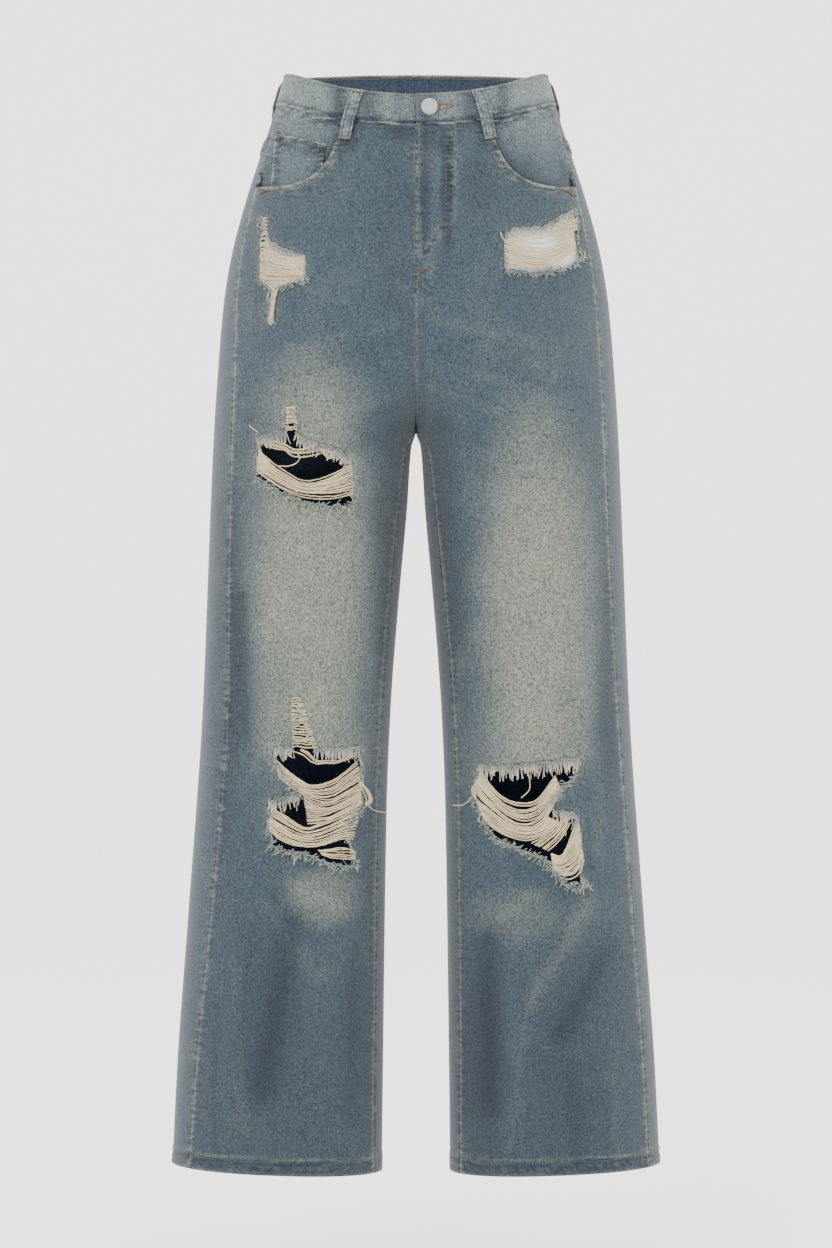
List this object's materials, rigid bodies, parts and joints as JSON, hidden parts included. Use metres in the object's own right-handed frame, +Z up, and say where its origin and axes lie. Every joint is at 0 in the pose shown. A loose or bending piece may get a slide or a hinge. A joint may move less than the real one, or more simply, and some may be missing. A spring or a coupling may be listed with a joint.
{
  "type": "ripped jeans, worn form held at the waist",
  "caption": "High-waisted wide-leg ripped jeans in their hollow worn form, open at the waist and both hems.",
  "frame": {"origin": "middle of the waist, level with the waistband's middle at the sides, where the wearer holds the jeans up", "axes": "+Z up the garment, front towards -Y, the wearer's left towards +X"},
  "size_m": [0.4853, 0.2359, 1.107],
  "materials": {
    "denim": "washed blue denim twill, faded on the thighs, rough and matt",
    "pocketing": "plain white cotton pocketing, matt",
    "zip_tape": "navy woven zip tape",
    "brass": "antique brass",
    "nickel": "satin nickel-plated button"
  },
  "bodies": {
    "root": {"front_left": "denim", "front_right": "denim", "back_left": "denim", "back_right": "denim", "yoke_left": "denim", "yoke_right": "denim", "waistband": "denim", "belt_loop_front_left": "denim", "belt_loop_front_right": "denim", "belt_loop_side_left": "denim", "belt_loop_side_right": "denim", "belt_loop_centre_back": "denim", "pocket_facing_left": "denim", "pocket_facing_right": "denim", "coin_pocket": "denim", "pocket_bag_left": "pocketing", "pocket_bag_right": "pocketing", "back_pocket_left": "denim", "back_pocket_right": "denim", "fly_facing": "denim", "fly_shield": "denim", "zip_tape": "zip_tape", "zip_chain": "brass", "button_head": "nickel", "button_tack": "brass"}
  },
  "joints": []
}
